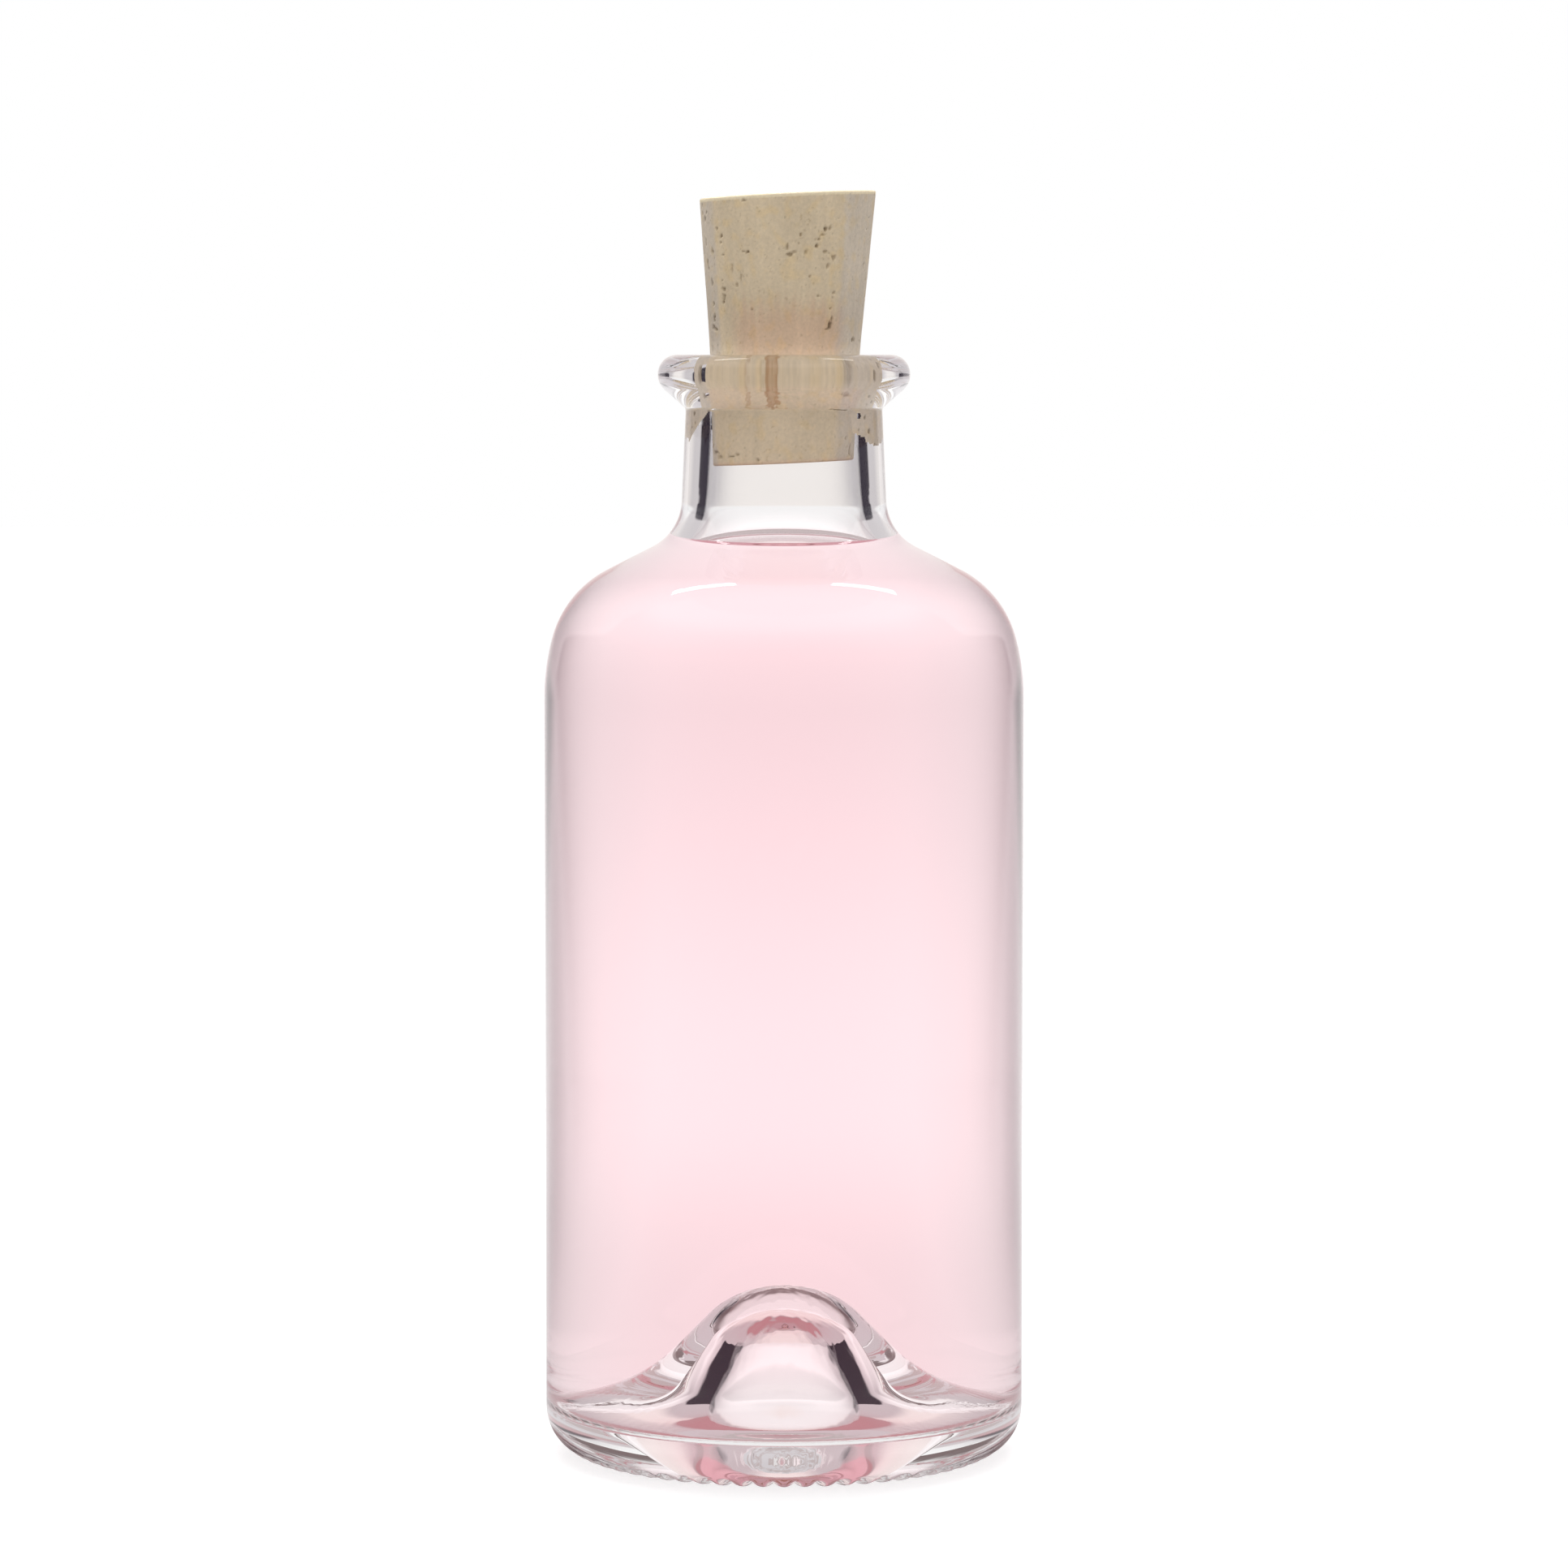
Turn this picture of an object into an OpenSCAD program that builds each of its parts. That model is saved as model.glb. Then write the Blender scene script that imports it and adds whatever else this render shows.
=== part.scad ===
// Corked apothecary bottle: a moulded glass bottle with a deep punt, the pink liquid it holds and
// a tapered natural cork. Z is up, the origin is the centre of the ring that the bottle stands on,
// and +X is to the right as the front is looked at.

/* [Body] */
// Outer diameter of the straight wall
body_d = 62.5; // [58:0.5:68]
// Height of the whole glass, from the ring it stands on to the top of the lip
bottle_h = 143.8; // [139:0.1:150]
// Thickness of the straight wall
wall_t = 3; // [2:0.1:3.4]

/* [Shoulder] */
// Height of the leaning stretch between the straight wall and the shoulder's bend
lean_h = 9.8; // [8:0.1:12]
// Lean of that stretch, in degrees from upright
shoulder_lean = 15; // [12:1:18]
// Fall of the shoulder away from the neck, in degrees from level
shoulder_fall = 27; // [24:1:30]
// Radius where the straight wall starts to lean
lean_round = 30; // [24:1:34]
// Radius of the shoulder's own bend, outside
shoulder_round = 14; // [12:0.5:15]
// Thickness of the glass in the shoulder
shoulder_t = 2.9; // [2.2:0.1:3.2]

/* [Neck] */
// Outer diameter of the neck under the lip
neck_top_d = 25.55; // [25:0.05:26.5]
// Outer diameter that the neck has grown to at its root
neck_root_d = 27; // [26.6:0.1:28]
// Height of the neck between the shoulder and the lip
neck_h = 16.05; // [14.5:0.05:17]
// Outer radius of the bend from shoulder to neck
neck_root_round = 7; // [4:0.25:8]
// Inner radius of the same bend
bore_root_round = 9; // [6:0.25:10]
// Inner diameter half way up the neck
bore_mid_d = 20.1; // [19.8:0.1:21]
// Height of that place above the root of the neck
bore_mid_h = 5.85; // [5:0.05:6.5]
// Growth of the bore below that place, in degrees from upright
bore_flare = 6; // [4:1:8]
// Radius of the bore's gentle bends between cork seat and root
bore_bend_round = 40; // [20:5:50]

/* [Lip] */
// Outer diameter of the lip
lip_d = 32.8; // [31:0.1:35]
// Height of the lip, from the neck to its top
lip_h = 7; // [6:0.1:8]
// Height of the lip's thick edge
lip_edge_h = 3.75; // [3.3:0.05:4.5]
// Radius of the lip's thick edge, above and below
lip_round = 1.85; // [1.2:0.05:2]
// Radius of the bend from neck to lip
lip_root_round = 0.6; // [0.3:0.1:1]
// Radius of the rounded edge of the mouth
mouth_round = 1; // [0.5:0.1:1.3]

/* [Floor] */
// Width of the floor inside, between the wall and the foot of the punt
floor_w = 14.45; // [12.5:0.05:15.5]
// Height at which the floor meets the wall
floor_edge_h = 3.4; // [3:0.1:4.6]
// Radius between floor and wall
floor_edge_round = 3.5; // [2.5:0.25:4]
// Height of the punt's foot
floor_foot_h = 10.5; // [9.6:0.1:11.4]
// Radius of the punt's foot
floor_foot_round = 22; // [17:0.5:24]
// Height of the punt's crown inside the bottle
floor_crown_h = 23.2; // [22:0.1:26]

/* [Base] */
// Radius of the moulded heel between wall and base
heel_round = 6.3; // [5:0.1:7]
// Width of the flat ring that the bottle stands on
ring_w = 1.15; // [0.6:0.05:2.4]
// Height of the recess just inside that ring
recess_h = 0.8; // [0.4:0.1:1.4]
// Height of the hollow under the punt
punt_h = 19.4; // [16:0.1:19.8]
// Height of the hollow's foot
punt_foot_h = 4.2; // [3:0.1:4.8]
// How far the hollow's foot lies inside the punt's foot in the floor
punt_foot_w = 2.8; // [2:0.1:3.6]
// Radius of the hollow's foot
punt_foot_round = 9; // [5:0.25:10]

/* [Cork] */
// Length of the cork
cork_l = 34.6; // [30:0.1:40]
// Diameter of the cork's narrow end
cork_narrow_d = 18.3; // [17.8:0.05:18.6]
// Diameter of the cork where it leaves the mouth
cork_mouth_d = 19.4; // [19:0.05:20]
// Diameter of the cork's wide end
cork_wide_d = 22.9; // [21.5:0.05:24]
// How far the cork sits in the neck
cork_depth = 14; // [12:0.1:15]
// Radius of the gentle flare between the cork's two tapers
cork_flare_round = 160; // [60:5:200]
// Slant of both cut ends, in degrees, higher on the right
cork_slant = 2.7; // [0:0.1:3]
// Lean of the cork to the right, in degrees
cork_lean = 0.9; // [0:0.1:1]

/* [Liquid] */
// How far the liquid stays below the top of the lip
fill_depth = 26.6; // [23:0.1:60]

/* [Fits] */
// Room between the cork and its seat in the neck, all round
cork_room = 0.27; // [0.24:0.01:0.35]
// Film between the liquid and the glass, so that the two solids stay apart
liquid_film = 0.05; // [0.03:0.01:0.1]

/* [Hidden] */
$fn = 96;
// Largest turn between two points of a rounded corner, in degrees
arc_step = 6;
// How far a cutting shape runs past what it cuts
overrun = 2;
// Height of the cork's seat in the neck, as a share of how far the cork goes in
seat_share = 0.66;
// Least bend that a corner needs to be rounded, as the sine of its turn
straight_share = 0.001;
// Radius of the punt's crown in the floor, where its side would meet its top, as a share of its
// foot's radius, and the crown's rounding as a share of that
floor_crown_share = 0.333;
floor_crown_round_share = 1.95;
// The same two for the hollow under the punt
punt_crown_share = 0.333;
punt_crown_round_share = 1.49;
// Angles in degrees
upright = 90;
half_turn = 180;

body_r = body_d / 2;
lip_r = lip_d / 2;
inner_r = body_r - wall_t;
ring_in_r = body_r - heel_round - ring_w;
cork_narrow_r = cork_narrow_d / 2;
cork_mouth_r = cork_mouth_d / 2;
cork_wide_r = cork_wide_d / 2;

lip_z = bottle_h - lip_h;
root_z = lip_z - neck_h;
liquid_z = bottle_h - fill_depth;
floor_foot_r = inner_r - floor_w;
floor_crown_r = floor_foot_r * floor_crown_share;
punt_foot_r = floor_foot_r - punt_foot_w;
punt_crown_r = floor_foot_r * punt_crown_share;
cork_z = bottle_h - cork_depth;
seat_z = bottle_h - cork_depth * seat_share;

// Growth of the cork's radius for each millimetre up from its narrow end, inside the neck
cork_taper = (cork_mouth_r - cork_narrow_r) / cork_depth;
seat_r = cork_narrow_r + cork_taper * (seat_z - cork_z) + cork_room;
mouth_r = cork_mouth_r + cork_room;

// Point where two lines cross. Each is a point and a heading in degrees, 0 outwards and 90 up.
function meet(p, p_way, q, q_way) =
    let (
        u = [cos(p_way), sin(p_way)],
        v = [cos(q_way), sin(q_way)],
        gone = cross(q - p, v) / cross(u, v)
    )
    p + u * gone;

// The corners of an outline are [radius from the axis, height, rounding]. These are the length of
// the side from one to the next, and its direction as a vector of length 1.
function side(from, to) = norm([to.x - from.x, to.y - from.y]);
function heading(from, to) = [to.x - from.x, to.y - from.y] / side(from, to);

// How far the rounding of the corner b between its neighbours a and c reaches along its sides.
// A corner with no rounding, or that lies straight between its neighbours, has none.
function reach(a, b, c) =
    b.z == 0 || abs(cross(heading(b, c), heading(b, a))) < straight_share
        ? 0
        : b.z / tan(acos(heading(b, a) * heading(b, c)) / 2);

// Points of an arc of radius r that rounds the corner at, whose neighbours lie towards back and on
function arc(at, back, on, r) =
    let (
        half = acos(back * on) / 2,
        centre = at + (back + on) / norm(back + on) * r / sin(half),
        start = at + back * r / tan(half) - centre,
        turn = (half_turn - 2 * half) * sign(cross(on, back)),
        steps = ceil(abs(turn) / arc_step)
    )
    [for (i = [0:steps])
        let (way = turn * i / steps)
        centre + [
            start.x * cos(way) - start.y * sin(way),
            start.x * sin(way) + start.y * cos(way)
        ]];

// Points of an open outline, each corner with its rounding, or with as much of it as its two sides
// have room for next to the roundings at their other ends. The outline's ends stay as they are.
function rounded(outline) =
    let (
        last = len(outline) - 1,
        reaches = [for (i = [0:last])
            i == 0 || i == last ? 0 : reach(outline[i - 1], outline[i], outline[i + 1])]
    )
    [for (i = [0:last])
        let (at = [outline[i].x, outline[i].y])
        each reaches[i] == 0
            ? [at]
            : arc(
                at,
                heading(at, outline[i - 1]),
                heading(at, outline[i + 1]),
                outline[i].z * min(
                    1,
                    side(outline[i - 1], at) / (reaches[i - 1] + reaches[i]),
                    side(at, outline[i + 1]) / (reaches[i] + reaches[i + 1])
                )
            )];

// Corner of an outline, from a point and its rounding
function rounding(p, r) = [p.x, p.y, r];

// Headings of the shoulder's two straight stretches, going up
lean_way = upright + shoulder_lean;
fall_way = half_turn - shoulder_fall;

// Outside of the glass, from the crown of the hollow under it, round the heel and up to the lip
neck_root = [neck_root_d / 2, root_z];
shoulder_bend_r = body_r - lean_h * tan(shoulder_lean);
shoulder_bend = [
    shoulder_bend_r,
    root_z - (shoulder_bend_r - neck_root.x) * tan(shoulder_fall)
];
wall_top = [body_r, shoulder_bend.y - lean_h];
outside = rounded([
    [0, punt_h, 0],
    [punt_crown_r, punt_h, punt_crown_r * punt_crown_round_share],
    [punt_foot_r, punt_foot_h, punt_foot_round],
    [ring_in_r - recess_h, recess_h, recess_h / 2],
    [ring_in_r, 0, 0],
    [body_r, 0, heel_round],
    rounding(wall_top, lean_round),
    rounding(shoulder_bend, shoulder_round),
    rounding(neck_root, neck_root_round),
    [neck_top_d / 2, lip_z, lip_root_round],
    [lip_r, bottle_h - lip_edge_h, lip_round],
    [lip_r, bottle_h, lip_round],
    [mouth_r + mouth_round, bottle_h, 0]
]);

// Inside of the glass, from the mouth down to the crown of the punt. The wall, the leaning stretch
// and the shoulder each lie their own thickness inside the outer face.
bore_mid = [bore_mid_d / 2, root_z + bore_mid_h];
inner_wall = [inner_r, wall_top.y];
inner_lean = wall_top - wall_t * [cos(shoulder_lean), sin(shoulder_lean)];
inner_fall = neck_root - shoulder_t * [sin(shoulder_fall), cos(shoulder_fall)];
bore_way = bore_flare - upright;
inside = rounded([
    [mouth_r + mouth_round + overrun, bottle_h, 0],
    [mouth_r, bottle_h, mouth_round],
    [seat_r, seat_z, bore_bend_round],
    rounding(bore_mid, bore_bend_round),
    rounding(meet(bore_mid, bore_way, inner_fall, fall_way), bore_root_round),
    rounding(meet(inner_lean, lean_way, inner_fall, fall_way), shoulder_round - shoulder_t),
    rounding(meet(inner_wall, upright, inner_lean, lean_way), lean_round - wall_t),
    [inner_r, floor_edge_h, floor_edge_round],
    [floor_foot_r, floor_foot_h, floor_foot_round],
    [floor_crown_r, floor_crown_h, floor_crown_r * floor_crown_round_share],
    [0, floor_crown_h, 0]
]);

// All points but the first, which only sets the heading of the mouth's rounding
inside_wall = [for (i = [1:len(inside) - 1]) inside[i]];

module glass_bottle() {
    color([0.93, 0.95, 0.96, 0.35])
        rotate_extrude()
            polygon(concat(outside, inside_wall));
}

// The space inside the glass up to the liquid's surface
module liquid() {
    color([0.96, 0.72, 0.77, 0.7])
        rotate_extrude()
            intersection() {
                offset(delta = -liquid_film)
                    polygon(concat(
                        inside_wall,
                        [[-overrun, floor_crown_h], [-overrun, bottle_h]]
                    ));
                square([body_r, liquid_z]);
            }
}

// Natural cork with a gentle flare and two cut ends that slant alike
module cork_stopper() {
    reach = cork_wide_d * tan(cork_slant) + overrun;
    low_r = cork_narrow_r - cork_taper * reach;
    wide_taper = (cork_wide_r - cork_mouth_r) / (cork_l - cork_depth);
    high_r = cork_wide_r + wide_taper * reach;
    color([0.75, 0.66, 0.52])
        translate([0, 0, cork_z])
            intersection() {
                translate([0, 0, cork_depth / 2])
                    rotate([0, cork_lean, 0])
                        translate([0, 0, -cork_depth / 2])
                            rotate_extrude()
                                polygon(concat(
                                    [[0, -reach]],
                                    rounded([
                                        [low_r, -reach, 0],
                                        [cork_mouth_r, cork_depth, cork_flare_round],
                                        [high_r, cork_l + reach, 0]
                                    ]),
                                    [[0, cork_l + reach]]
                                ));
                rotate([0, -cork_slant, 0])
                    translate([-cork_wide_d, -cork_wide_d, 0])
                        cube([2 * cork_wide_d, 2 * cork_wide_d, cork_l]);
            }
}

glass_bottle();
liquid();
cork_stopper();
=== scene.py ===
"""Looks of a corked apothecary bottle: moulded glass, pink liquid and a tapered natural cork."""

import math
import random

import bpy
import numpy as np
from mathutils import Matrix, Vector, noise


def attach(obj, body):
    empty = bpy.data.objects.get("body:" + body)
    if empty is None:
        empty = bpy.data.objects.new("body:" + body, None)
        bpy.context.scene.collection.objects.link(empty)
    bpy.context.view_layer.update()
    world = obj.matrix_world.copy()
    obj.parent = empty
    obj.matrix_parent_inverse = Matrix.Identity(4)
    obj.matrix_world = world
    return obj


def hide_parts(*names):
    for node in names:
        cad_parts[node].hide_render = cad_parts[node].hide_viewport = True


MM = 0.001
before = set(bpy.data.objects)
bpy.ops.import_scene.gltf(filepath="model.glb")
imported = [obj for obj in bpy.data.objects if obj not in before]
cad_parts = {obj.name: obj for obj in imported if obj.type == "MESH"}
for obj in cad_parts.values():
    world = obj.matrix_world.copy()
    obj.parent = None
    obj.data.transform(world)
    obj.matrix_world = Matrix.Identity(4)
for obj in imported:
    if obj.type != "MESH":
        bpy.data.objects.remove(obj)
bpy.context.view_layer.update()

# The bottle's driving sizes in millimetres. They are those of the part's source, apart from two
# roundings: the lip's is larger and the lean's a little smaller.
BODY_R = 31.25
BOTTLE_H = 143.8
WALL_T = 3.0
LEAN_H = 9.8
SHOULDER_LEAN = math.radians(15)
SHOULDER_FALL = math.radians(27)
LEAN_ROUND = 29.6  # with 30, it and the next rounding meet in a fold
SHOULDER_ROUND = 14.0
SHOULDER_T = 2.9
NECK_TOP_R = 12.775
NECK_ROOT_R = 13.5
LIP_Z = 136.8
ROOT_Z = 120.75
NECK_ROOT_ROUND = 7.0
BORE_ROOT_ROUND = 9.0
BORE_MID = (10.05, 126.6)
BORE_FLARE = math.radians(6)
BORE_BEND_ROUND = 40.0
LIP_R = 16.4
LIP_EDGE_H = 3.75
LIP_ROUND = 2.5
LIP_ROOT_ROUND = 0.6
MOUTH_R = 9.97
MOUTH_ROUND = 1.0
SEAT = (9.607, 134.56)
HEEL_ROUND = 6.3
RING_IN_R = 23.8
RING_ROUND = 0.25
RECESS_H = 0.8
HOLLOW_TOP, HOLLOW_TOP_ROUND = (4.6, 19.4), 6.85
HOLLOW_FOOT, HOLLOW_FOOT_ROUND = (11.0, 4.2), 9
FLOOR_TOP, FLOOR_TOP_ROUND = (4.6, 23.2), 9
FLOOR_FOOT, FLOOR_FOOT_ROUND = (13.8, 10.5), 22
FLOOR_Z, FLOOR_ROUND = 3.4, 3.5
LIQUID_Z = 117.2
MENISCUS_H = 1.5
MENISCUS_L = 0.8
MENISCUS_REACH = 9
CONTACT_Z = LIQUID_Z + MENISCUS_H

ARC_STEP = math.radians(3)
BORE_STEP = 0.25
CROWN_STEP = 0.35
RING_STEP = 0.3
ROOT_STEP = 0.2
SHARP = math.radians(40)


# Profiles, as corners (radius from the axis, height, rounding)


def meet(p, p_way, q, q_way):
    """Point where two lines cross, each a point and a heading."""
    ux, uz = math.cos(p_way), math.sin(p_way)
    vx, vz = math.cos(q_way), math.sin(q_way)
    gone = ((q[0] - p[0]) * vz - (q[1] - p[1]) * vx) / (ux * vz - uz * vx)
    return p[0] + ux * gone, p[1] + uz * gone


def rounded(outline):
    """The outline's points, with each inner corner turned into an arc."""
    points = [outline[0][:2]]
    for a, b, c in zip(outline, outline[1:], outline[2:]):
        at = Vector(b[:2])
        back = (Vector(a[:2]) - at).normalized()
        on = (Vector(c[:2]) - at).normalized()
        turn = on.x * back.y - on.y * back.x
        if b[2] == 0 or abs(turn) < 1e-3:
            points.append(tuple(at))
            continue
        half = math.acos(max(-1, min(1, back.dot(on)))) / 2
        centre = at + (back + on).normalized() * b[2] / math.sin(half)
        start = at + back * b[2] / math.tan(half) - centre
        whole = (math.pi - 2 * half) * math.copysign(1, turn)
        steps = max(2, math.ceil(abs(whole) / ARC_STEP))
        for i in range(steps + 1):
            way = whole * i / steps
            x = start.x * math.cos(way) - start.y * math.sin(way)
            y = start.x * math.sin(way) + start.y * math.cos(way)
            points.append((centre.x + x, centre.y + y))
    points.append(outline[-1][:2])
    return points


def finely(points, longest):
    """The same line with points added so that no side is longer than that."""
    fine = [points[0]]
    for a, b in zip(points, points[1:]):
        steps = max(1, math.ceil(math.dist(a, b) / longest))
        for i in range(1, steps + 1):
            t = i / steps
            fine.append((a[0] + (b[0] - a[0]) * t, a[1] + (b[1] - a[1]) * t))
    return fine


def moved_out(points, by):
    """The line moved to its left by that much, as it is walked along."""
    out = []
    for i, (r, z) in enumerate(points):
        a = points[max(i - 1, 0)]
        b = points[min(i + 1, len(points) - 1)]
        length = math.dist(a, b)
        out.append((r - (b[1] - a[1]) / length * by, z + (b[0] - a[0]) / length * by))
    return out


LEAN_WAY = math.pi / 2 + SHOULDER_LEAN
FALL_WAY = math.pi - SHOULDER_FALL
BEND_R = BODY_R - LEAN_H * math.tan(SHOULDER_LEAN)
BEND_Z = ROOT_Z - (BEND_R - NECK_ROOT_R) * math.tan(SHOULDER_FALL)
WALL_TOP = (BODY_R, BEND_Z - LEAN_H)
INNER_R = BODY_R - WALL_T
INNER_LEAN = (
    WALL_TOP[0] - WALL_T * math.cos(SHOULDER_LEAN),
    WALL_TOP[1] - WALL_T * math.sin(SHOULDER_LEAN),
)
INNER_FALL = (
    NECK_ROOT_R - SHOULDER_T * math.sin(SHOULDER_FALL),
    ROOT_Z - SHOULDER_T * math.cos(SHOULDER_FALL),
)

# From the crown of the hollow under the punt round the heel and up to the lip
OUTSIDE = rounded(
    [
        (0, HOLLOW_TOP[1], 0),
        (*HOLLOW_TOP, HOLLOW_TOP_ROUND),
        (*HOLLOW_FOOT, HOLLOW_FOOT_ROUND),
        (RING_IN_R - RECESS_H, RECESS_H, RECESS_H / 2),
        (RING_IN_R, 0, RING_ROUND),
        (BODY_R, 0, HEEL_ROUND),
        (*WALL_TOP, LEAN_ROUND),
        (BEND_R, BEND_Z, SHOULDER_ROUND),
        (NECK_ROOT_R, ROOT_Z, NECK_ROOT_ROUND),
        (NECK_TOP_R, LIP_Z, LIP_ROOT_ROUND),
        (LIP_R, BOTTLE_H - LIP_EDGE_H, LIP_ROUND),
        (LIP_R, BOTTLE_H, LIP_ROUND),
        (MOUTH_R + MOUTH_ROUND, BOTTLE_H, 0),
    ]
)

# From the mouth down to the crown of the punt
INSIDE = rounded(
    [
        (MOUTH_R + MOUTH_ROUND + 2, BOTTLE_H, 0),
        (MOUTH_R, BOTTLE_H, MOUTH_ROUND),
        (*SEAT, BORE_BEND_ROUND),
        (*BORE_MID, BORE_BEND_ROUND),
        (*meet(BORE_MID, BORE_FLARE - math.pi / 2, INNER_FALL, FALL_WAY), BORE_ROOT_ROUND),
        (*meet(INNER_LEAN, LEAN_WAY, INNER_FALL, FALL_WAY), SHOULDER_ROUND - SHOULDER_T),
        (*meet((INNER_R, 0), math.pi / 2, INNER_LEAN, LEAN_WAY), LEAN_ROUND - WALL_T),
        (INNER_R, FLOOR_Z, FLOOR_ROUND),
        (*FLOOR_FOOT, FLOOR_FOOT_ROUND),
        (*FLOOR_TOP, FLOOR_TOP_ROUND),
        (0, FLOOR_TOP[1], 0),
    ]
)[1:]


def parted(line, z):
    """A line that comes down, as its parts over and under a height, which share a point there."""
    first = next(i for i, p in enumerate(line) if p[1] <= z)
    over, under = line[first - 1], line[first]
    share = (over[1] - z) / (over[1] - under[1])
    meeting = (over[0] + (under[0] - over[0]) * share, z)
    return line[:first] + [meeting], [meeting] + line[first:]


BORE, WET = parted(INSIDE, CONTACT_Z)
BORE = finely(BORE, BORE_STEP)
CONTACT = WET[0]
BORED, WETTED = set(BORE), set(WET)


# Numbers and colours


def smooth(value, low, high):
    """A smooth step from 0 at low to 1 at high. Low may be the greater one."""
    t = max(0, min(1, (value - low) / (high - low)))
    return t * t * (3 - 2 * t)


def mixed(a, b, t):
    return a + (b - a) * t


def blended(a, b, t):
    return tuple(mixed(x, y, t) for x, y in zip(a, b))


def tinted(colour, tint):
    return tuple(c * t for c, t in zip(colour, tint))


def scaled(colour, level):
    return tuple(c * level for c in colour)


def read_off(table, at):
    """A table's value between its keys, in a straight line."""
    return float(np.interp(at, list(table), list(table.values())))


# Meshes


def new_object(name, mesh):
    piece = bpy.data.objects.new(name, mesh)
    bpy.context.scene.collection.objects.link(piece)
    return piece


def revolved(name, points, segments, shift=None, kind=None):
    """A solid turned from a line with both ends on the axis. The kind of a face, from its two
    points on the line and its angle, is the number of its material."""
    area = sum(a[0] * b[1] - b[0] * a[1] for a, b in zip(points, points[1:]))
    if area < 0:
        points = points[::-1]
    rings = points[1:-1]
    verts = [(0, 0, points[0][1])]
    for r, z in rings:
        for k in range(segments):
            way = 2 * math.pi * k / segments
            dr, dz = shift(r, z, way) if shift else (0, 0)
            verts.append(((r + dr) * math.cos(way), (r + dr) * math.sin(way), z + dz))
    verts.append((0, 0, points[-1][1]))
    faces, kinds = [], []
    last = len(verts) - 1
    for k in range(segments):
        on = (k + 1) % segments
        way = 2 * math.pi * (k + 0.5) / segments
        low = 1 + (len(rings) - 1) * segments
        faces.append((0, 1 + on, 1 + k))
        faces.append((low + k, low + on, last))
        if kind:
            kinds += [kind(*points[:2], way), kind(*points[-2:], way)]
        for ring in range(len(rings) - 1):
            a = 1 + ring * segments
            b = a + segments
            faces.append((a + k, a + on, b + on, b + k))
            if kind:
                kinds.append(kind(rings[ring], rings[ring + 1], way))
    mesh = bpy.data.meshes.new(name)
    mesh.from_pydata([tuple(c * MM for c in v) for v in verts], [], faces)
    if kind:
        mesh.polygons.foreach_set("material_index", kinds)
    mesh.shade_smooth()
    mesh.set_sharp_from_angle(angle=SHARP)
    return new_object(name, mesh)


# Materials


def material(name):
    mat = bpy.data.materials.new(name)
    mat.use_nodes = True
    tree = mat.node_tree
    return mat, tree, tree.nodes["Principled BSDF"]


def node(tree, kind, **settings):
    made = tree.nodes.new(kind)
    for key, value in settings.items():
        setattr(made, key, value)
    return made


def joined(tree, operation, a, b):
    made = node(tree, "ShaderNodeMath", operation=operation)
    for socket, value in zip(made.inputs, (a, b)):
        if isinstance(value, (int, float)):
            socket.default_value = value
        else:
            tree.links.new(value, socket)
    return made.outputs[0]


def ranged(tree, value, low, high, start, end):
    """A smooth step of a value, from start at low to end at high."""
    made = node(tree, "ShaderNodeMapRange", interpolation_type="SMOOTHSTEP")
    for key, number in (("From Min", low), ("From Max", high), ("To Min", start), ("To Max", end)):
        made.inputs[key].default_value = number
    tree.links.new(value, made.inputs["Value"])
    return made.outputs[0]


def either(tree, factor, first, second):
    """The first shader where the factor is 0 and the second where it is 1."""
    made = node(tree, "ShaderNodeMixShader")
    for socket, value in zip(made.inputs, (factor, first, second)):
        tree.links.new(value, socket)
    return made.outputs[0]


# Glass

KNURLS = 62
KNURL_DEPTH = 0.55
KNURL_R, KNURL_REACH, KNURL_TOP = 26.4, 2.8, 3
# The stipple: radii between which it grows outward on the foot of the hollow, and inward on the
# crown, and the height between the two
STIPPLE_Z = 9
STIPPLE_IN, STIPPLE_FULL = 16, 19
CROWN_STIPPLE_R = (9.5, 5.5)
STIPPLE_H = 0.03
CROWN_STIPPLE = 2
STIPPLE_SCALE = 1.3
GLASS_IOR = 1.52
LIQUID_IOR = 1.333
WETTED_IOR = 1.14
MOST_REFLECTIONS = 4
MOST_BOUNCES = 12
# Shades of the painted glow that the clear surfaces give to light reflected inside many times
PAINTED_GLOW_CLEAR = (0.66, 0.62, 0.64, 1)
PAINTED_GLOW_PINK = (0.54, 0.46, 0.46, 1)


def moulding(r, z, way):
    """Crescent notches round the ring that the bottle stands on and the foot of its heel, and a
    stipple on the foot and the crown of the hollow."""
    within = r < RING_IN_R - 0.2
    if within and (z < STIPPLE_Z) == (r > STIPPLE_IN):
        place = Vector((r * math.cos(way), r * math.sin(way), 0))
        foot = smooth(r, STIPPLE_IN, STIPPLE_FULL)
        crown = CROWN_STIPPLE * smooth(r, *CROWN_STIPPLE_R)
        return 0, STIPPLE_H * noise.noise(place * STIPPLE_SCALE) * (foot + crown)
    if within or z > KNURL_TOP:
        return 0, 0
    phase = (way * KNURLS / (2 * math.pi)) % 1
    bump = abs(math.sin(math.pi * phase)) ** 0.8
    reach = max(0, 1 - abs(r - KNURL_R) / KNURL_REACH)
    deep = KNURL_DEPTH * (1 - bump) * min(1, reach * 2)
    lean = max(0, min(1, (r - BODY_R + HEEL_ROUND) / HEEL_ROUND))
    return -deep * lean, deep * math.sqrt(1 - lean * lean)


def glass_line():
    """The whole glass as one line, with more points where notches and stipple shape it."""
    ring = [p for p in OUTSIDE if p[1] < KNURL_TOP and p[0] > RING_IN_R - 1.5]
    first = OUTSIDE.index(ring[0])
    hollow, rest = OUTSIDE[:first], OUTSIDE[first + len(ring):]
    return finely(hollow, CROWN_STEP) + finely(ring, RING_STEP) + rest + BORE + WET[1:]


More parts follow.
